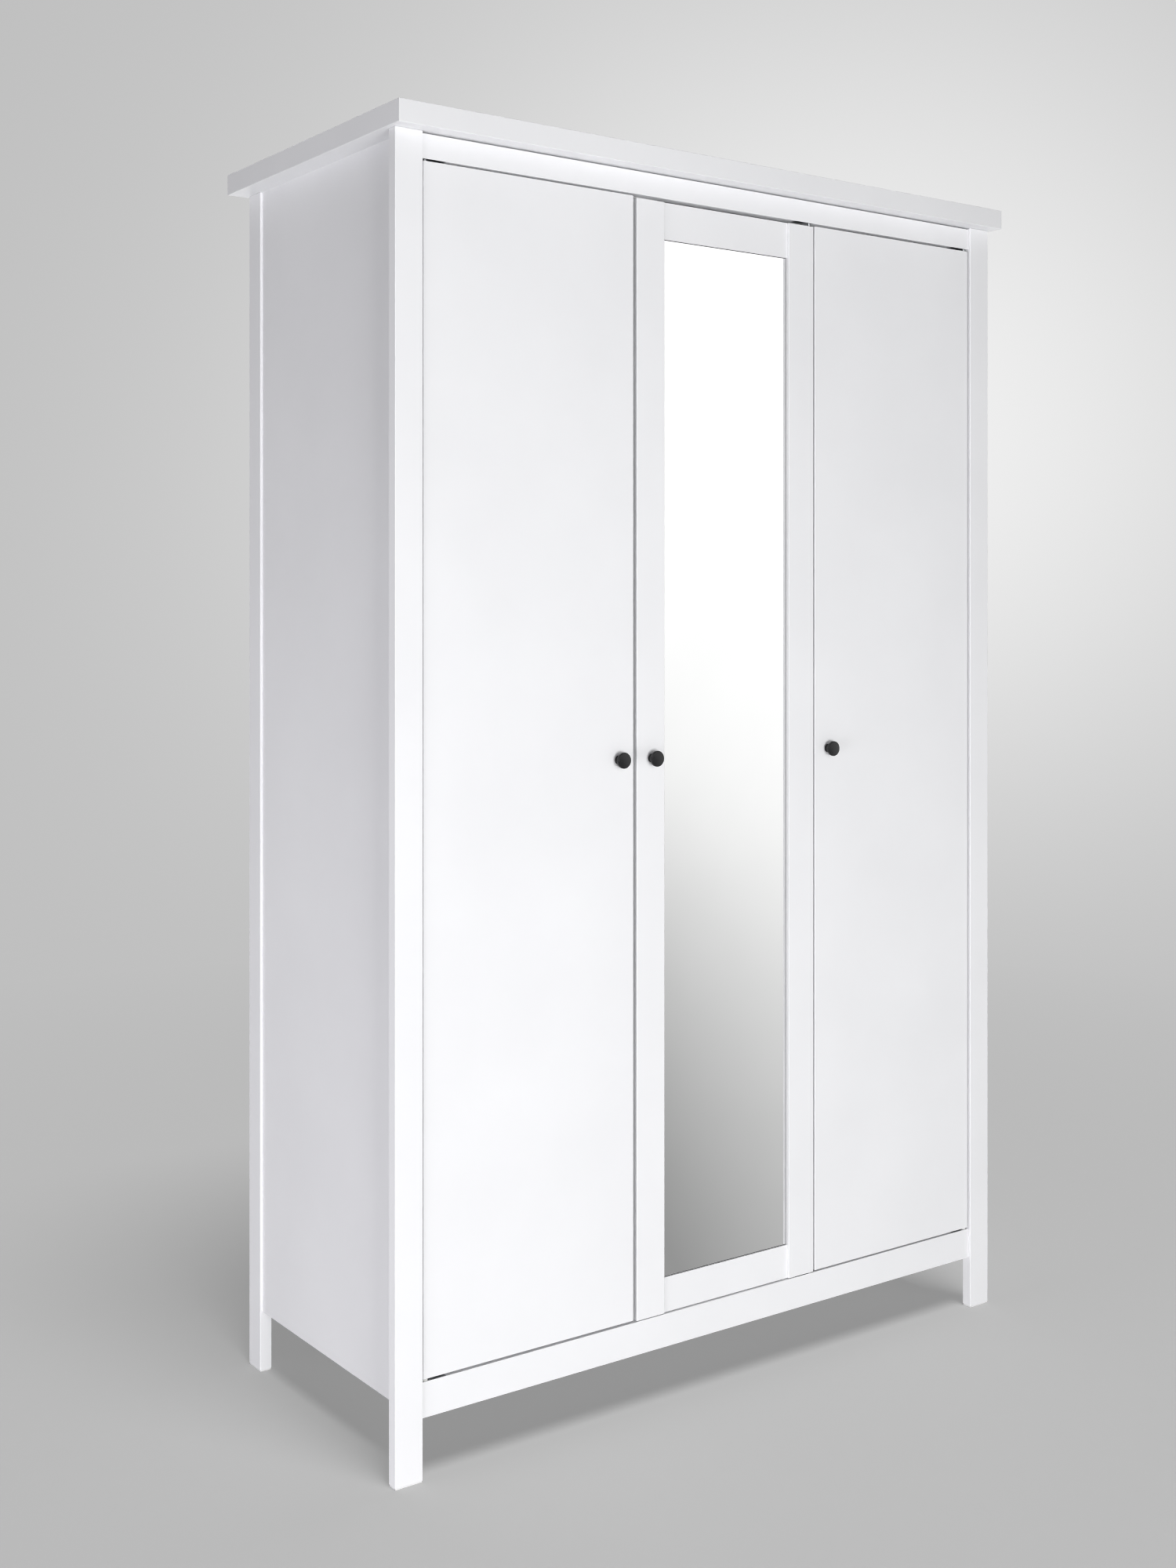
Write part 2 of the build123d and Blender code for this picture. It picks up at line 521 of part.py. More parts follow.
# ---- inner boards; the bottom and top panels run forward to the front rails
bottom_panel = block(-INNER_X, INNER_X, DOOR_BACK_Y, BACK_Y, FLOOR_Z0, BOTTOM_RAIL_Z1)
top_panel = block(-INNER_X, INNER_X, DOOR_BACK_Y, BACK_Y, TOP_RAIL_Z, TOP_PANEL_Z1)
partition = block(PARTITION_X0, PARTITION_X1, INNER_FRONT_Y, BACK_Y, BOTTOM_RAIL_Z1, TOP_RAIL_Z)
hat_shelf = block(-INNER_X, PARTITION_X0, SHELF_FRONT_Y, BACK_Y, HAT_SHELF_Z, HAT_SHELF_Z + BOARD)
save("bottom_panel", drilled(bottom_panel, holes))
save("top_panel", drilled(top_panel, holes))
save("partition", drilled(partition, holes))
save("hat_shelf", drilled(hat_shelf, holes))
for i, z in enumerate(shelf_bottoms):
    shelf = block(PARTITION_X1 + SHELF_PLAY, INNER_X - SHELF_PLAY, SHELF_FRONT_Y, BACK_Y - SHELF_PLAY,
                  z, z + BOARD)
    save(f"shelf_{i + 1}", shelf)

# ---- back panels, held in the rear posts' grooves and nailed on
STRIP_WEB = 1.0
STRIP_W = 20.0
STRIP_T = 1.2
groove_end = INNER_X + BACK_GROOVE - 0.5
back_spans = {
    "back_panel_left": (-groove_end, BACK_SPLIT_X - STRIP_WEB / 2),
    "back_panel_middle": (BACK_SPLIT_X + STRIP_WEB / 2, PARTITION_X),
    "back_panel_right": (PARTITION_X, groove_end),
}
for name, (x0, x1) in back_spans.items():
    save(name, drilled(block(x0, x1, BACK_Y, BACK_Y1, FLOOR_Z0, CORNICE_Z), holes))
web = block(BACK_SPLIT_X - STRIP_WEB / 2, BACK_SPLIT_X + STRIP_WEB / 2, BACK_Y, BACK_Y1,
            FLOOR_Z0, CORNICE_Z - REAR_RAIL_H)
flange = block(BACK_SPLIT_X - STRIP_W / 2, BACK_SPLIT_X + STRIP_W / 2, BACK_Y1, BACK_Y1 + STRIP_T,
               FLOOR_Z0, CORNICE_Z - REAR_RAIL_H)
save("back_joint_strip", web + flange)


# ---- cornice: a board inside four strips, mitred at the front corners
def strip(points):
    """Cornice strip from its plan outline, with the outer long edges rounded."""
    raw = extrude(Pos(0, 0, CORNICE_Z) * make_face(Polyline(*points, close=True)), CORNICE_H)
    box = raw.bounding_box()
    outer = []
    for e in raw.edges():
        c = e.center()
        long_edge = e.length > 100 and abs(c.Z - HEIGHT + CORNICE_H / 2) > 1
        on_side = abs(abs(c.X) - CORNICE_W / 2) < 0.01
        on_front = abs(c.Y - CORNICE_Y0) < 0.01
        on_rear = abs(c.Y - CORNICE_Y1) < 0.01 and box.min.Y > 0
        if long_edge and (on_side or on_front or on_rear):
            outer.append(e)
    return fillet(outer, 1.0)


cx, cw = CORNICE_W / 2, CORNICE_STRIP
ix = cx - cw
fy, iy0, iy1, ry = CORNICE_Y0, CORNICE_Y0 + cw, CORNICE_Y1 - cw, CORNICE_Y1
cornice_board = block(-ix, ix, iy0, iy1, CORNICE_Z, HEIGHT)
save("cornice_board", drilled(cornice_board, holes))
save("cornice_front_strip", drilled(strip([(-cx, fy), (cx, fy), (ix, iy0), (-ix, iy0)]), holes))
save("cornice_left_strip", drilled(strip([(-cx, fy), (-ix, iy0), (-ix, iy1), (-cx, iy1)]), holes))
save("cornice_right_strip", drilled(strip([(cx, fy), (ix, iy0), (ix, iy1), (cx, iy1)]), holes))
save("cornice_rear_strip", drilled(strip([(-cx, iy1), (cx, iy1), (cx, ry), (-cx, ry)]), holes))

# ---- fittings
save("clothes_rail", clothes_rail)
save("clothes_rail_brackets", *[drilled(b, holes) for b in brackets])
save("pivot_plates", *[drilled(p, holes) for p in pivot_plates])
save("magnet_catches", *[drilled(c, holes) for c in catches])
for node, group in solids.items():
    save(node, *group)
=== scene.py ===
import json
import math

import bmesh
import bpy
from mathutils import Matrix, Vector


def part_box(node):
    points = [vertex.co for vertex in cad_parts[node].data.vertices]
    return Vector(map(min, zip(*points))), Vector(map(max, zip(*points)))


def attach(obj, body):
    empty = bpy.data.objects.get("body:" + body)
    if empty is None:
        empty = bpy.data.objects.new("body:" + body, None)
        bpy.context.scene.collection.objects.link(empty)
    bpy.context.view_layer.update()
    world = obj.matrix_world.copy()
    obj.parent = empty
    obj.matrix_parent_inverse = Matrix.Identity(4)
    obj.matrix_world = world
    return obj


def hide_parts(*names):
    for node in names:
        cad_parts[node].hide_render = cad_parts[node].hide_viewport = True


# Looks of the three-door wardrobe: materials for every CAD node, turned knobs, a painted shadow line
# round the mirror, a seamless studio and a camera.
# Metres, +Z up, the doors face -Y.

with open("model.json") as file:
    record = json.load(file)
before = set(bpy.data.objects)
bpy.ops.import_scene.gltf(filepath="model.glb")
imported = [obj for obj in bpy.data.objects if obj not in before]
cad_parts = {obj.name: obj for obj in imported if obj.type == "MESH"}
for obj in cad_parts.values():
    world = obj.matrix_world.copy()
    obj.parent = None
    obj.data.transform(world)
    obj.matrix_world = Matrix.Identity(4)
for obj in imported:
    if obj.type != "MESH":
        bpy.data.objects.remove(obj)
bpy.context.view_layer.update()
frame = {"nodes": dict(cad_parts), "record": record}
nodes = frame["nodes"]
record = frame["record"]


# ---- shader helpers
def new_material(name):
    """Material with a Principled shader; returns the material, its tree and the shader."""
    material = bpy.data.materials.new(name)
    material.use_nodes = True
    tree = material.node_tree
    return material, tree, tree.nodes["Principled BSDF"]


def add(tree, kind, inputs=None, **settings):
    """New shader node; inputs are socket values by name, settings are node properties."""
    made = tree.nodes.new(kind)
    for name, value in settings.items():
        setattr(made, name, value)
    for name, value in (inputs or {}).items():
        made.inputs[name].default_value = value
    return made


def object_position(tree, stretch=(1.0, 1.0, 1.0)):
    """Socket with the point's place on its object, stretched along the axes."""
    place = add(tree, "ShaderNodeTexCoord")
    scaled = add(tree, "ShaderNodeMapping", {"Scale": stretch})
    tree.links.new(place.outputs["Object"], scaled.inputs["Vector"])
    return scaled.outputs["Vector"]


def noise(tree, vector, scale, detail=2.0, distortion=0.0):
    """Socket with a noise value from 0 to 1; scale is in waves per metre."""
    made = add(tree, "ShaderNodeTexNoise",
               {"Scale": scale, "Detail": detail, "Distortion": distortion})
    tree.links.new(vector, made.inputs["Vector"])
    return made.outputs["Fac"]


def remap(tree, value, low, high, from_low=0.3, from_high=0.7):
    """Socket that carries value from one range to another."""
    made = add(tree, "ShaderNodeMapRange",
               {"From Min": from_low, "From Max": from_high, "To Min": low, "To Max": high})
    tree.links.new(value, made.inputs["Value"])
    return made.outputs["Result"]


def two_tone(tree, value, dark, light, low=0.3, high=0.7):
    """Socket with a colour between dark and light."""
    ramp = add(tree, "ShaderNodeValToRGB")
    ramp.color_ramp.elements[0].position = low
    ramp.color_ramp.elements[0].color = (*dark, 1.0)
    ramp.color_ramp.elements[1].position = high
    ramp.color_ramp.elements[1].color = (*light, 1.0)
    tree.links.new(value, ramp.inputs["Fac"])
    return ramp.outputs["Color"]


def bump(tree, shader, height, distance, strength=1.0):
    """Surface relief; distance is the relief's height in metres."""
    made = add(tree, "ShaderNodeBump", {"Strength": strength, "Distance": distance})
    tree.links.new(height, made.inputs["Height"])
    tree.links.new(made.outputs["Normal"], shader.inputs["Normal"])


# ---- materials
def white_lacquer():
    """Satin white lacquer on fibreboard: fine orange peel and a very faint clouding."""
    material, tree, shader = new_material("white_lacquer")
    place = object_position(tree)
    clouds = noise(tree, place, 5.0, detail=3.0)
    peel = noise(tree, place, 420.0, detail=3.0)
    tree.links.new(two_tone(tree, clouds, (0.835, 0.838, 0.852), (0.865, 0.868, 0.882)),
                   shader.inputs["Base Color"])
    tree.links.new(remap(tree, peel, 0.36, 0.46), shader.inputs["Roughness"])
    bump(tree, shader, peel, 0.00004)
    shader.inputs["Specular IOR Level"].default_value = 0.45
    return material


def back_board():
    """Thin hardboard with a printed white face: flat, matt, with a fine paper grain."""
    material, tree, shader = new_material("back_board")
    fibres = noise(tree, object_position(tree, (1.0, 1.0, 0.3)), 260.0, detail=4.0)
    tree.links.new(two_tone(tree, fibres, (0.74, 0.74, 0.74), (0.80, 0.80, 0.80)),
                   shader.inputs["Base Color"])
    tree.links.new(remap(tree, fibres, 0.55, 0.7), shader.inputs["Roughness"])
    bump(tree, shader, fibres, 0.00005)
    return material


def backing_board():
    """Brown hardboard behind the mirror: pressed fibres in several sizes."""
    material, tree, shader = new_material("backing_board")
    place = object_position(tree)
    fibres = noise(tree, place, 340.0, detail=6.0, distortion=0.6)
    tree.links.new(two_tone(tree, fibres, (0.19, 0.105, 0.052), (0.33, 0.20, 0.11)),
                   shader.inputs["Base Color"])
    tree.links.new(remap(tree, fibres, 0.6, 0.8), shader.inputs["Roughness"])
    bump(tree, shader, fibres, 0.0001)
    return material


def beech():
    """Beech pegs: pale straight grain with short dark flecks."""
    material, tree, shader = new_material("beech")
    grain = noise(tree, object_position(tree, (1.0, 1.0, 0.15)), 420.0, detail=5.0, distortion=0.4)
    tree.links.new(two_tone(tree, grain, (0.40, 0.23, 0.11), (0.62, 0.41, 0.23)),
                   shader.inputs["Base Color"])
    tree.links.new(remap(tree, grain, 0.5, 0.65), shader.inputs["Roughness"])
    bump(tree, shader, grain, 0.00008)
    return material


def metal(name, dark, light, smooth, rough, relief, scale):
    """Plated metal: two close tones, uneven gloss and a fine relief."""
    material, tree, shader = new_material(name)
    marks = noise(tree, object_position(tree), scale, detail=4.0)
    shader.inputs["Metallic"].default_value = 1.0
    tree.links.new(two_tone(tree, marks, dark, light), shader.inputs["Base Color"])
    tree.links.new(remap(tree, marks, smooth, rough), shader.inputs["Roughness"])
    bump(tree, shader, marks, relief)
    return material


def plastic(name, dark, light, smooth, rough, relief, scale, sheen=0.5):
    """Moulded plastic with the fine texture of its mould."""
    material, tree, shader = new_material(name)
    grain = noise(tree, object_position(tree), scale, detail=3.0)
    tree.links.new(two_tone(tree, grain, dark, light), shader.inputs["Base Color"])
    tree.links.new(remap(tree, grain, smooth, rough), shader.inputs["Roughness"])
    shader.inputs["Specular IOR Level"].default_value = sheen
    bump(tree, shader, grain, relief)
    return material


def mirror():
    """Silvered glass: a sharp reflection with a trace of green and of surface haze."""
    material, tree, shader = new_material("mirror")
    haze = noise(tree, object_position(tree), 9.0, detail=2.0)
    shader.inputs["Metallic"].default_value = 1.0
    tree.links.new(two_tone(tree, haze, (0.872, 0.876, 0.872), (0.886, 0.889, 0.886)),
                   shader.inputs["Base Color"])
    tree.links.new(remap(tree, haze, 0.004, 0.012), shader.inputs["Roughness"])
    return material


finishes = {
    "white_lacquer": white_lacquer(),
    "back_board": back_board(),
    "backing_board": backing_board(),
    "beech": beech(),
    "zinc_steel": metal("zinc_steel", (0.50, 0.51, 0.53), (0.64, 0.65, 0.67),
                        smooth=0.28, rough=0.42, relief=0.00002, scale=700.0),
    "chromed_rail": metal("chromed_rail", (0.70, 0.71, 0.73), (0.76, 0.77, 0.79),
                          smooth=0.08, rough=0.14, relief=0.00001, scale=90.0),
    "bush_plastic": plastic("bush_plastic", (0.62, 0.62, 0.60), (0.68, 0.68, 0.66),
                            smooth=0.40, rough=0.52, relief=0.00002, scale=900.0),
    "white_plastic": plastic("white_plastic", (0.74, 0.74, 0.74), (0.79, 0.79, 0.79),
                             smooth=0.38, rough=0.5, relief=0.00002, scale=800.0),
    "black_knob": plastic("black_knob", (0.008, 0.008, 0.009), (0.013, 0.013, 0.014),
                          smooth=0.25, rough=0.35, relief=0.00002, scale=1100.0, sheen=0.36),
    "mirror": mirror(),
}
for part in record["subparts"]:
    cad_mesh = nodes[part["node"]].data
    cad_mesh.materials.clear()
    cad_mesh.materials.append(finishes[part["material_slot"]])


# ---- pieces that stand for CAD nodes or refine them
def mesh_piece(name, bm, body, slot, smooth=False):
    """Object from a bmesh, riding on a CAD body and finished as its material slot."""
    bmesh.ops.recalc_face_normals(bm, faces=bm.faces)
    mesh = bpy.data.meshes.new(name)
    bm.to_mesh(mesh)
    bm.free()
    for polygon in mesh.polygons:
        polygon.use_smooth = smooth
    mesh.materials.append(finishes[slot])
    piece = bpy.data.objects.new(name, mesh)
    bpy.context.scene.collection.objects.link(piece)
    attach(piece, body)
    return piece


KNOB_SIDES = 72
CURVE_STEPS = 7
KNOB_FOOT = 0.56          # radii of the knob's foot and neck over its head's
KNOB_NECK = 0.475
FOOT_H = 0.0008           # straight edge of the foot, and how far up the neck starts and ends
NECK_LOW = 0.0035
NECK_HIGH = 0.0085
RIM_LOW = 0.0055          # the rim's lower and upper edge below the knob's top
RIM_HIGH = 0.0025
DOME_H = 0.0009
DOME_IN = 0.0020          # the dome starts this far inside the rim


def curve(start, control, end):
    """Points along a quadratic curve in the knob's (radius, height) section."""
    points = []
    for i in range(CURVE_STEPS + 1):
        t = i / CURVE_STEPS
        shares = ((1 - t) ** 2, 2 * t * (1 - t), t ** 2)
        points.append(tuple(shares[0] * a + shares[1] * b + shares[2] * c
                            for a, b, c in zip(start, control, end)))
    return points


def knob_section(head_r, height):
    """Half section of a turned knob: foot, straight neck, flared head and a shallow dome."""
    foot_r = KNOB_FOOT * head_r
    neck_r = KNOB_NECK * head_r
    under_r = head_r - 0.0010
    dome_r = head_r - DOME_IN
    rim_low = height - RIM_LOW
    rim_high = height - RIM_HIGH
    dome_low = height - DOME_H
    points = [(0.0, 0.0), (foot_r, 0.0), (foot_r, FOOT_H)]
    points += curve((foot_r, FOOT_H), (neck_r, 0.0012), (neck_r, NECK_LOW))[1:]
    points += curve((neck_r, NECK_HIGH), (neck_r, rim_low - 0.0006), (under_r, rim_low))
    points += curve((under_r, rim_low), (head_r, rim_low), (head_r, rim_low + 0.0008))[1:]
    points += curve((head_r, rim_high), (head_r, dome_low - 0.0002), (dome_r, dome_low))
    for i in range(1, CURVE_STEPS + 1):
        radius = dome_r * (1 - i / CURVE_STEPS)
        points.append((radius, height - DOME_H * (radius / dome_r) ** 2))
    return points


def knob(name, body):
    """Turned knob in place of the CAD knob, with the same axis, height and head."""
    low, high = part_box(name)
    height = high.y - low.y
    head_r = (high.x - low.x) / 2
    centre_x = (low.x + high.x) / 2
    centre_z = (low.z + high.z) / 2
    section = knob_section(head_r, height)
    bm = bmesh.new()
    rings = []
    for radius, rise in section:
        y = high.y - rise
        if radius == 0.0:
            rings.append([bm.verts.new((centre_x, y, centre_z))])
            continue
        ring = []
        for i in range(KNOB_SIDES):
            angle = 2 * math.pi * i / KNOB_SIDES
            x = centre_x + radius * math.cos(angle)
            z = centre_z + radius * math.sin(angle)
            ring.append(bm.verts.new((x, y, z)))
        rings.append(ring)
    for lower, upper in zip(rings, rings[1:]):
        for i in range(KNOB_SIDES):
            j = (i + 1) % KNOB_SIDES
            corners = [lower[i % len(lower)], lower[j % len(lower)],
                       upper[j % len(upper)], upper[i % len(upper)]]
            bm.faces.new(list(dict.fromkeys(corners)))
    piece = mesh_piece(name + "_turned", bm, body, "black_knob", smooth=True)
    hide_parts(name)
    return piece


for door in ("left_door", "centre_door", "right_door"):
    knob(f"{door}_knob", door)


# ---- mirror's painted shadow line
SHADOW_LINE_W = 0.0009      # width of the grey strip that paints the shadow line at the glass's edge
SHADOW_LINE_T = 0.0002


def painted_shadow_line_finish():
    """Dark grey that paints the shadow line along the mirror's edge."""
    material, tree, shader = new_material("mirror_painted_shadow_line")
    grain = noise(tree, object_position(tree), 600.0)
    tree.links.new(two_tone(tree, grain, (0.11, 0.11, 0.115), (0.15, 0.15, 0.155)),
                   shader.inputs["Base Color"])
    tree.links.new(remap(tree, grain, 0.35, 0.5), shader.inputs["Roughness"])
    return material


def painted_shadow_line():
    """Thin grey frame on the glass, along the inside of the door's own frame, painting the shadow line
    there.
    """
    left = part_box("centre_door_stile_left")[1].x
    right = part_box("centre_door_stile_right")[0].x
    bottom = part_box("centre_door_rail_bottom")[1].z
    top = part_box("centre_door_rail_top")[0].z
    glass_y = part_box("mirror_glass")[0].y
    w = SHADOW_LINE_W
    outer = [(left, bottom), (right, bottom), (right, top), (left, top)]
    inner = [(left + w, bottom + w), (right - w, bottom + w), (right - w, top - w), (left + w, top - w)]
    bm = bmesh.new()
    loops = []
    for outline, y in ((outer, glass_y), (outer, glass_y - SHADOW_LINE_T),
                       (inner, glass_y - SHADOW_LINE_T), (inner, glass_y)):
        loops.append([bm.verts.new((x, y, z)) for x, z in outline])
    for a, b in zip(loops, loops[1:] + loops[:1]):
        for i in range(4):
            j = (i + 1) % 4
            bm.faces.new((a[i], a[j], b[j], b[i]))
    # this grey strip is painted shade: it stands for the shadow where the door's frame meets the glass
    piece = mesh_piece("mirror_painted_shadow_line", bm, "centre_door", "mirror")
    piece.data.materials[0] = painted_shadow_line_finish()


painted_shadow_line()


# ---- studio: a round seamless backdrop, and a white surround that only reflections show
STAGE_R = 7.5
STAGE_CORNER_R = 4.0
SURROUND_CORNER_R = 0.6
STAGE_H = 7.0
STAGE_SIDES = 96
CORNER_STEPS = 16
FLOOR_LEVEL = 0.468       # brightness of the floor as the camera sees it
FAR_RISE = 0.046          # painted light: the backdrop is this much lighter far from the wardrobe
FAR_RISE_FROM = 0.5       # distances from the wardrobe between which it gets lighter
FAR_RISE_TO = 3.5
POOL_RISE = 0.37          # the painted round pool of light on the wall adds this much
POOL_AT = (5.1, 4.9, 2.2)
POOL_SIZE = 2.0
LIT_LEVEL = 0.22          # part of the floor's brightness that comes from the lamps
FLOOR_ALBEDO = 0.2
FLOOR_FADE_FROM = 1.4     # from here outwards the floor turns from a lit to a glowing one
FLOOR_FADE_TO = 4.0


def stage_object(name, rings, material, closed=True):
    """Surface of revolution about Z, from (radius, height) rings, with or without a floor."""
    bm = bmesh.new()
    loops = []
    for radius, z in rings:
        loop = []
        for i in range(STAGE_SIDES):
            angle = 2 * math.pi * i / STAGE_SIDES
            loop.append(bm.verts.new((radius * math.cos(angle), radius * math.sin(angle), z)))
        loops.append(loop)
    if closed:
        bm.faces.new(loops[0])
    for a, b in zip(loops, loops[1:]):
        for i in range(STAGE_SIDES):
            j = (i + 1) % STAGE_SIDES
            bm.faces.new((a[i], a[j], b[j], b[i])).smooth = True
    mesh = bpy.data.meshes.new(name)
    bm.to_mesh(mesh)
    bm.free()
    mesh.materials.append(material)
    made = bpy.data.objects.new(name, mesh)
    bpy.context.scene.collection.objects.link(made)
    return made


def stage_rings(radius, corner, height):
    """Section of a round studio: flat floor, a quarter-round corner and a wall."""
    rings = [(radius - corner - 1.0, 0.0), (radius - corner, 0.0)]
    for i in range(1, CORNER_STEPS + 1):
        angle = math.pi / 2 * i / CORNER_STEPS
        rings.append((radius - corner + corner * math.sin(angle), corner - corner * math.cos(angle)))
    rings.append((radius, height))
    return rings


def calculate(tree, operation, *values):
    """Socket with the result of a math operation on sockets or numbers."""
    made = add(tree, "ShaderNodeMath", operation=operation)
    for i, value in enumerate(values):
        if isinstance(value, (int, float)):
            made.inputs[i].default_value = value
        else:
            tree.links.new(value, made.inputs[i])
    return made.outputs["Value"]


def glowing(tree, level):
    """Put an emission shader in place of the Principled one; returns its output."""
    tree.nodes.remove(tree.nodes["Principled BSDF"])
    glow = add(tree, "ShaderNodeEmission")
    tree.links.new(level, glow.inputs["Color"])
    return glow.outputs["Emission"]


def soft_spot(tree, place, centre, size, level):
    """Socket with a round glow that fades away from its centre."""
    away = add(tree, "ShaderNodeVectorMath", {1: centre}, operation="DISTANCE")
    tree.links.new(place, away.inputs[0])
    reach = calculate(tree, "DIVIDE", away.outputs["Value"], size)
    fade = calculate(tree, "MULTIPLY", calculate(tree, "MULTIPLY", reach, reach), -0.5)
    return calculate(tree, "MULTIPLY", calculate(tree, "EXPONENT", fade), level)


def backdrop_material():
    """Pale grey paper: a matt floor that takes shadows, and a wall with a painted round pool of light.
    """
    material, tree, _ = new_material("backdrop")
    place = object_position(tree)
    away = add(tree, "ShaderNodeVectorMath", operation="LENGTH")
    tree.links.new(place, away.inputs[0])
    rise = remap(tree, away.outputs["Value"], 0.0, FAR_RISE, FAR_RISE_FROM, FAR_RISE_TO)
    lit = remap(tree, away.outputs["Value"], 1.0, 0.0, FLOOR_FADE_FROM, FLOOR_FADE_TO)

    pool = soft_spot(tree, place, POOL_AT, POOL_SIZE, POOL_RISE)
    level = calculate(tree, "ADD", calculate(tree, "ADD", rise, pool), FLOOR_LEVEL)
    level = calculate(tree, "SUBTRACT", level, calculate(tree, "MULTIPLY", lit, LIT_LEVEL))
    matt = add(tree, "ShaderNodeBsdfDiffuse")
    tree.links.new(calculate(tree, "MULTIPLY", lit, FLOOR_ALBEDO), matt.inputs["Color"])
    both = add(tree, "ShaderNodeAddShader")
    tree.links.new(glowing(tree, level), both.inputs[0])
    tree.links.new(matt.outputs["BSDF"], both.inputs[1])
    tree.links.new(both.outputs["Shader"], tree.nodes["Material Output"].inputs["Surface"])
    return material


SURROUND_WAY = (0.87, 0.49, 1.3)   # the surround brightens this way, up to its white level
SURROUND_REACH = 0.95
SURROUND_WHITE = 1.2
SURROUND_DROP = 0.77
SURROUND_DARK = 0.34               # and is nowhere darker than this
PATCH_AT = (-2.85, -6.9, 2.0)      # bright patch that puts a highlight on the knobs
PATCH_SIZE = 0.9
PATCH_LEVEL = 8.0


def surround_material():
    """White studio walls over a floor with painted shade that makes it darker in front of the mirror.
    """
    material, tree, _ = new_material("surround")
    along = add(tree, "ShaderNodeVectorMath", {1: SURROUND_WAY}, operation="DOT_PRODUCT")
    tree.links.new(object_position(tree), along.inputs[0])
    fade = calculate(tree, "EXPONENT",
                     calculate(tree, "DIVIDE", along.outputs["Value"], -SURROUND_REACH))
    # painted shade: the drop darkens the floor in front of the mirror
    drop = calculate(tree, "MULTIPLY", fade, SURROUND_DROP)
    level = calculate(tree, "SUBTRACT", SURROUND_WHITE, drop)
    level = calculate(tree, "MAXIMUM", level, SURROUND_DARK)
    patch = soft_spot(tree, object_position(tree), PATCH_AT, PATCH_SIZE, PATCH_LEVEL)
    glow = glowing(tree, calculate(tree, "ADD", level, patch))
    tree.links.new(glow, tree.nodes["Material Output"].inputs["Surface"])
    return material


paper = backdrop_material()
rings = stage_rings(STAGE_R, STAGE_CORNER_R, STAGE_H)
floor = stage_object("floor", rings[:2], paper)
floor.visible_glossy = False
wall = stage_object("wall", rings[1:], paper, closed=False)
wall.visible_glossy = False
wall.visible_diffuse = False
wall.visible_shadow = False
rings = stage_rings(STAGE_R, SURROUND_CORNER_R, STAGE_H)
surround = stage_object("surround", rings, surround_material())
surround.visible_camera = False
surround.visible_diffuse = False
surround.visible_shadow = False
surround.visible_transmission = False

# ---- light: a faint white sky, softboxes for the wardrobe and an even lamp for the floor
SKY_LEVEL = 0.05
NEUTRAL = (1.0, 1.0, 1.0)
VIOLET = (0.965, 0.95, 1.0)
world = bpy.data.worlds.new("studio")
world.use_nodes = True
sky = world.node_tree.nodes["Background"]
sky.inputs["Color"].default_value = (*NEUTRAL, 1.0)
sky.inputs["Strength"].default_value = SKY_LEVEL
bpy.context.scene.world = world

# place, aimed at, width, height, watts, colour
SOFTBOXES = {
    "key_low": ((-1.3, -4.1, 0.6), (-0.4, 0.0, 0.6), 1.2, 1.0, 93.0, NEUTRAL),
    "key": ((-0.8, -4.45, 1.5), (-0.4, 0.0, 0.9), 1.4, 2.0, 39.0, NEUTRAL),
    "left_front": ((-3.9, -1.6, 0.45), (0.0, 0.0, 0.6), 1.8, 0.8, 44.0, VIOLET),
    "low_side": ((-2.4, -0.5, 0.25), (-0.6, -0.1, 0.4), 1.6, 0.5, 9.0, VIOLET),
    "right_side": ((4.6, 1.6, 1.4), (0.0, 0.0, 0.9), 2.5, 2.5, 75.0, NEUTRAL),
    "above": ((0.0, 0.8, 6.0), (0.0, 0.8, 0.0), 1.2, 1.0, 150.0, NEUTRAL),
    "behind": ((2.0, 4.8, 1.8), (0.2, 0.0, 0.9), 2.6, 3.0, 90.0, NEUTRAL),
}
object_only = bpy.data.collections.new("object_only")
studio_only = bpy.data.collections.new("studio_only")
for stage_piece in (floor, wall):
    object_only.objects.link(stage_piece)
    studio_only.objects.link(stage_piece)
for link in object_only.collection_objects:
    link.light_linking.link_state = "EXCLUDE"


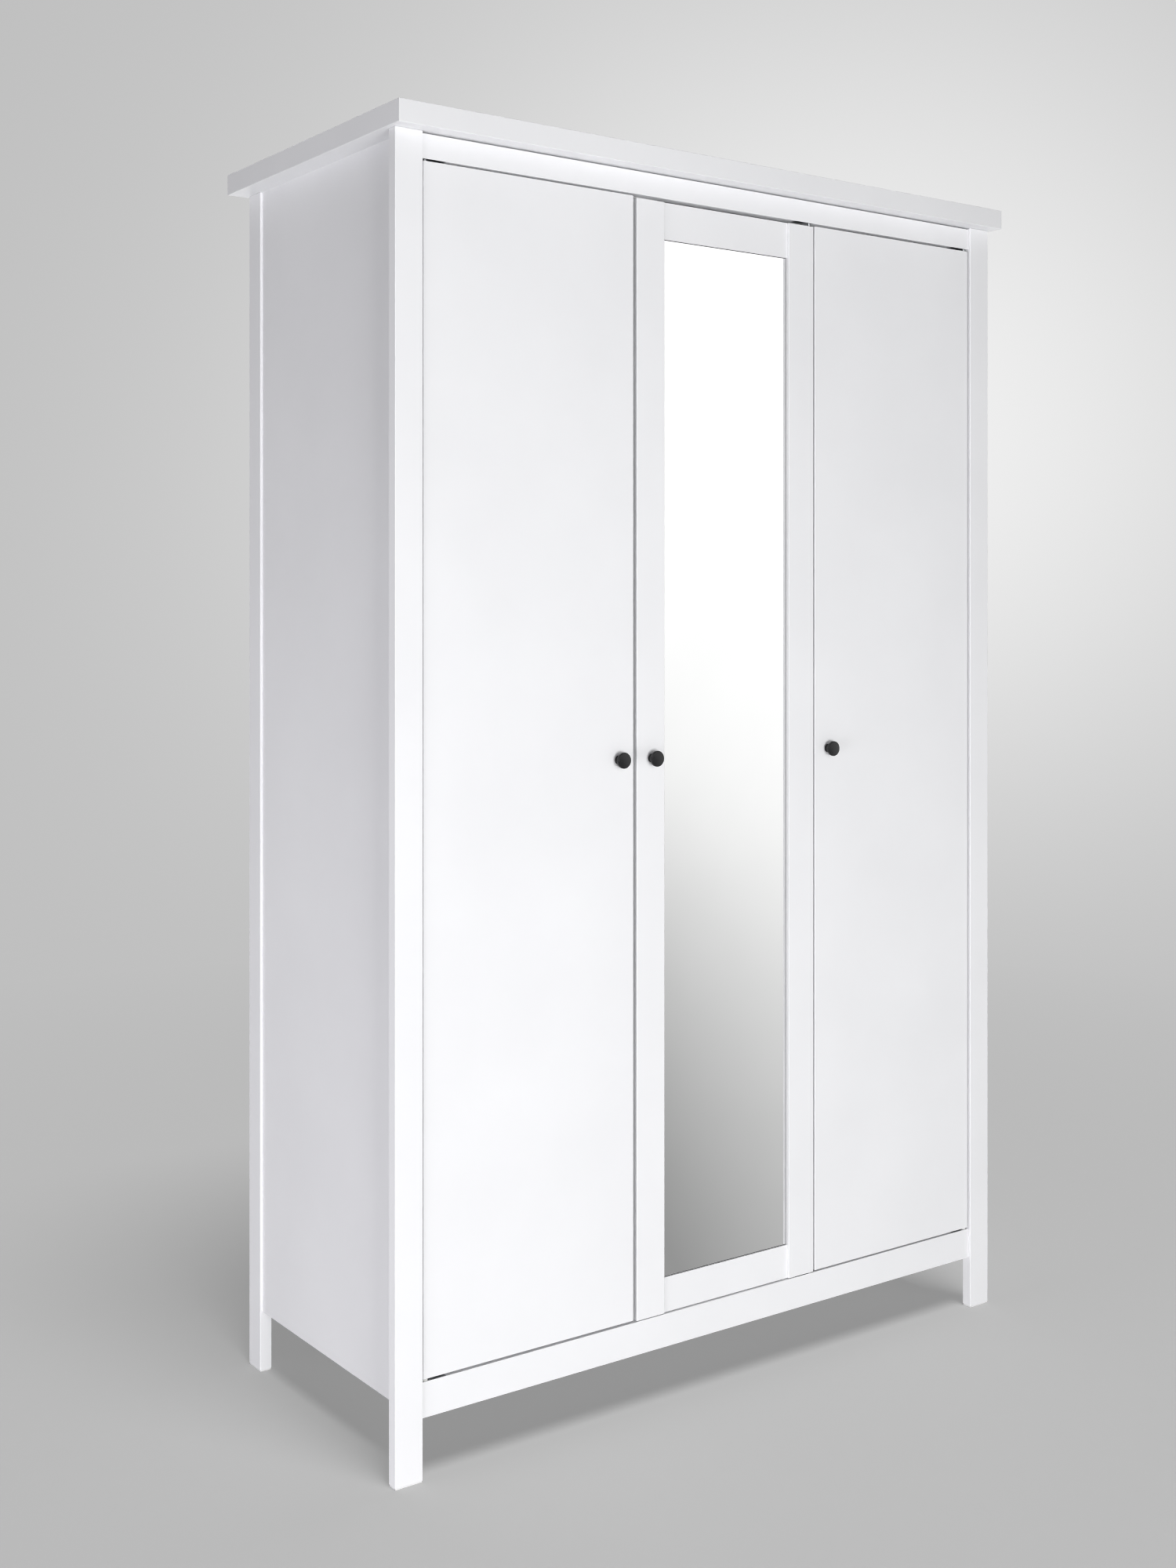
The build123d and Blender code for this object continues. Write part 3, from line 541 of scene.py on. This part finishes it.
def lamp_object(name, lamp, place, aim, receivers):
    """Lamp that lights only its receivers; neither the camera nor the mirror sees it."""
    made = bpy.data.objects.new(name, lamp)
    made.location = place
    made.rotation_euler = (Vector(aim) - Vector(place)).to_track_quat("-Z", "Y").to_euler()
    made.visible_camera = False
    made.visible_glossy = False
    made.light_linking.receiver_collection = receivers
    bpy.context.scene.collection.objects.link(made)


for name, (place, aim, width, height, power, colour) in SOFTBOXES.items():
    lamp = bpy.data.lights.new(name, "AREA")
    lamp.shape = "RECTANGLE"
    lamp.size = width
    lamp.size_y = height
    lamp.energy = power
    lamp.color = colour
    lamp_object(name, lamp, place, aim, object_only)

# the even lamp stands high in front and casts the wardrobe's soft shadow on the floor
OVERHEAD_AWAY = 6.0
OVERHEAD_HEIGHT = math.radians(70)
OVERHEAD_TURN = math.radians(7)
OVERHEAD_SPREAD = math.radians(24)
overhead = bpy.data.lights.new("overhead", "SUN")
overhead.angle = OVERHEAD_SPREAD
lamp_share = LIT_LEVEL - FLOOR_ALBEDO * SKY_LEVEL
overhead.energy = lamp_share * math.pi / FLOOR_ALBEDO / math.sin(OVERHEAD_HEIGHT)
reach = OVERHEAD_AWAY * math.cos(OVERHEAD_HEIGHT)
overhead_at = (-reach * math.sin(OVERHEAD_TURN), -reach * math.cos(OVERHEAD_TURN),
               OVERHEAD_AWAY * math.sin(OVERHEAD_HEIGHT))
lamp_object("overhead", overhead, overhead_at, (0.0, 0.0, 0.0), studio_only)

# ---- camera: level, turned towards the right, with its frame shifted down
CAMERA_AT = (-1.8476, -2.4450, 1.1982)
CAMERA_TURN = math.radians(35.744)
camera_data = bpy.data.cameras.new("camera")
camera_data.sensor_width = 36.0
camera_data.lens = 42.228
camera_data.shift_y = -0.1077
camera_data.clip_end = 100.0
camera = bpy.data.objects.new("camera", camera_data)
camera.location = CAMERA_AT
camera.rotation_euler = (math.pi / 2, 0.0, -CAMERA_TURN)
bpy.context.scene.collection.objects.link(camera)
bpy.context.scene.camera = camera
bpy.context.scene.view_settings.view_transform = "Standard"
bpy.context.scene.cycles.filter_width = 1.0
